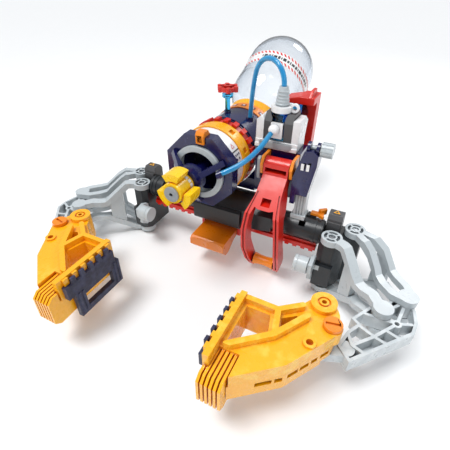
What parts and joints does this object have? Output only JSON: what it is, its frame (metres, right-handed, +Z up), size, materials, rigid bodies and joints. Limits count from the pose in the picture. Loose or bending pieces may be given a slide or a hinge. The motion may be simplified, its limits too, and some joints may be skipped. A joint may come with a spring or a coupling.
{
  "type": "hydraulic arm kit",
  "caption": "Hand-held beam with a parallelogram gripper arm at each end, squeeze lever, hand pump, hoses and a water barrel with a clear bottle.",
  "frame": {"origin": "centre of the beam, on its axis, where the hand grips it", "axes": "+X along the beam towards the right arm, -Y towards the fingers and away from the bottle, +Z up"},
  "size_m": [0.369, 0.3838, 0.1962],
  "materials": {
    "black_satin": "satin",
    "black_metal": "satin",
    "navy": "semi gloss",
    "pale_grey": "semi gloss",
    "mid_grey": "satin",
    "red": "gloss",
    "orange": "satin",
    "yellow": "gloss",
    "white": "semi gloss",
    "clear": "clear gloss",
    "cyan_clear": "clear gloss",
    "hose": "gloss",
    "pad_rubber": "matte",
    "pin_steel": "satin"
  },
  "bodies": {
    "launcher": {"end_blocks": "black_satin", "end_caps": "black_satin", "shoulder_pins": "pin_steel", "stop_yokes": "pale_grey", "beam_tube": "black_metal", "handle_shell": "black_satin", "beam_rail": "red", "lever_bracket": "orange", "saddle": "navy", "pump_base": "white", "pump_cheeks": "mid_grey", "pump_cylinder": "cyan_clear", "pump_cap": "white", "hose_cone": "pale_grey", "ball_fitting": "white", "barrel_housing": "navy", "front_ring": "pale_grey", "nozzle_spider": "navy", "white_band": "white", "yellow_band": "yellow", "rear_band": "navy", "cap_ring": "orange", "tank_collar": "yellow", "top_clip": "orange", "valve_post": "cyan_clear", "rear_bracket": "red", "accumulator": "cyan_clear", "mast_post": "pale_grey", "mast_bracket": "navy", "upper_hose": "hose", "lower_hose": "hose"},
    "right_front_arm": {"right_front_link": "pale_grey"},
    "right_rear_arm": {"right_rear_link": "pale_grey"},
    "right_forearm_body": {"right_forearm": "pale_grey", "right_elbow_pins": "pin_steel"},
    "right_finger": {"right_finger_upper": "yellow", "right_finger_lower": "yellow", "right_grip_pad": "pad_rubber"},
    "right_lock": {"right_lock_pin": "yellow"},
    "right_knob": {"right_stop_knob": "pale_grey"},
    "left_front_arm": {"left_front_link": "pale_grey"},
    "left_rear_arm": {"left_rear_link": "pale_grey"},
    "left_forearm_body": {"left_forearm": "pale_grey", "left_elbow_pins": "pin_steel"},
    "left_finger": {"left_finger_upper": "yellow", "left_finger_lower": "yellow", "left_grip_pad": "pad_rubber"},
    "left_lock": {"left_lock_pin": "yellow"},
    "left_knob": {"left_stop_knob": "pale_grey"},
    "trigger_body": {"trigger": "orange"},
    "latch_body": {"latch": "orange"},
    "squeeze_lever": {"lever": "red"},
    "roller": {"lever_roller": "orange"},
    "piston": {"pump_rod": "pin_steel"},
    "selector": {"selector_ring": "red"},
    "nozzle": {"nozzle_petals": "yellow", "nozzle_tip": "pale_grey"},
    "bottle": {"tank": "clear"},
    "wheel": {"valve_wheel": "red"},
    "mast_knob_body": {"mast_knob": "pale_grey"}
  },
  "joints": [
    {"name": "right_arm_swing", "type": "hinge", "parent": "launcher", "child": "right_front_arm", "pos_m": [0.105, -0.0105, -0.025], "axis": [0, 0, 1], "range_deg": [-35, 20]},
    {"name": "right_rear_swing", "type": "hinge", "parent": "launcher", "child": "right_rear_arm", "pos_m": [0.1215, 0.0105, -0.025], "axis": [0, 0, 1], "range_deg": [-35, 20]},
    {"name": "right_elbow", "type": "hinge", "parent": "right_front_arm", "child": "right_forearm_body", "pos_m": [0.1585, -0.0555, -0.025], "axis": [0, 0, 1], "range_deg": [-20, 35]},
    {"name": "right_finger_pivot", "type": "hinge", "parent": "right_forearm_body", "child": "right_finger", "pos_m": [0.1276, -0.1044, -0.01], "axis": [0, 0, 1], "range_deg": [-12, 12]},
    {"name": "right_lock_turn", "type": "hinge", "parent": "right_forearm_body", "child": "right_lock", "pos_m": [0.1276, -0.1044, -0.01], "axis": [0, 0, 1], "range_deg": [0, 90]},
    {"name": "right_knob_turn", "type": "hinge", "parent": "launcher", "child": "right_knob", "pos_m": [0.086, -0.031, -0.0175], "axis": [1, 0, 0], "continuous": true},
    {"name": "left_arm_swing", "type": "hinge", "parent": "launcher", "child": "left_front_arm", "pos_m": [-0.105, -0.0105, -0.025], "axis": [0, 0, 1], "range_deg": [-20, 35]},
    {"name": "left_rear_swing", "type": "hinge", "parent": "launcher", "child": "left_rear_arm", "pos_m": [-0.1215, 0.0105, -0.025], "axis": [0, 0, 1], "range_deg": [-20, 35]},
    {"name": "left_elbow", "type": "hinge", "parent": "left_front_arm", "child": "left_forearm_body", "pos_m": [-0.1585, -0.0555, -0.025], "axis": [0, 0, 1], "range_deg": [-35, 20]},
    {"name": "left_finger_pivot", "type": "hinge", "parent": "left_forearm_body", "child": "left_finger", "pos_m": [-0.1276, -0.1044, -0.01], "axis": [0, 0, 1], "range_deg": [-12, 12]},
    {"name": "left_lock_turn", "type": "hinge", "parent": "left_forearm_body", "child": "left_lock", "pos_m": [-0.1276, -0.1044, -0.01], "axis": [0, 0, 1], "range_deg": [0, 90]},
    {"name": "left_knob_turn", "type": "hinge", "parent": "launcher", "child": "left_knob", "pos_m": [-0.086, -0.031, -0.0175], "axis": [1, 0, 0], "continuous": true},
    {"name": "trigger_pull", "type": "hinge", "parent": "launcher", "child": "trigger_body", "pos_m": [-0.009, -0.002, -0.026], "axis": [1, 0, 0], "range_deg": [-12, 0], "stiffness_Nm_per_rad": 0.06, "springref_deg": 8.59},
    {"name": "latch_slide", "type": "slide", "parent": "launcher", "child": "latch_body", "axis": [1, 0, 0], "range_m": [-0.003, 0], "stiffness_N_per_m": 200, "springref_m": 0.002},
    {"name": "lever_squeeze", "type": "hinge", "parent": "launcher", "child": "squeeze_lever", "pos_m": [0.0458, 0, 0.057], "axis": [1, 0, 0], "range_deg": [0, 6.5], "stiffness_Nm_per_rad": 0.4, "springref_deg": -8.59},
    {"name": "roller_turn", "type": "hinge", "parent": "squeeze_lever", "child": "roller", "pos_m": [0.0458, -0.0145, -0.0445], "axis": [1, 0, 0], "continuous": true},
    {"name": "pump_stroke", "type": "slide", "parent": "launcher", "child": "piston", "axis": [0, 0, 1], "range_m": [0, 0.0042]},
    {"name": "selector_turn", "type": "hinge", "parent": "launcher", "child": "selector", "pos_m": [-0.0175, 0.014, 0.05], "axis": [0, 1, 0], "range_deg": [-45, 45]},
    {"name": "nozzle_twist", "type": "hinge", "parent": "launcher", "child": "nozzle", "pos_m": [-0.0175, -0.06, 0.05], "axis": [0, 1, 0], "range_deg": [-60, 60]},
    {"name": "bottle_twist", "type": "hinge", "parent": "launcher", "child": "bottle", "pos_m": [-0.0175, 0.078, 0.047], "axis": [0, 0.8878, 0.4602], "range_deg": [-45, 0]},
    {"name": "valve_turn", "type": "hinge", "parent": "launcher", "child": "wheel", "pos_m": [-0.025, 0.04, 0.101], "axis": [0, 0, 1], "continuous": true},
    {"name": "mast_knob_turn", "type": "hinge", "parent": "launcher", "child": "mast_knob_body", "pos_m": [0.08, 0.001, 0.079], "axis": [1, 0, 0], "continuous": true}
  ],
  "couplings": [
    {"joint": "right_rear_swing", "follows": "right_arm_swing", "ratio": 1},
    {"joint": "right_elbow", "follows": "right_arm_swing", "ratio": -1},
    {"joint": "left_arm_swing", "follows": "right_arm_swing", "ratio": -1},
    {"joint": "left_rear_swing", "follows": "right_arm_swing", "ratio": -1},
    {"joint": "left_elbow", "follows": "right_arm_swing", "ratio": 1},
    {"joint": "pump_stroke", "follows": "lever_squeeze", "m_per_rad": 0.0358}
  ]
}
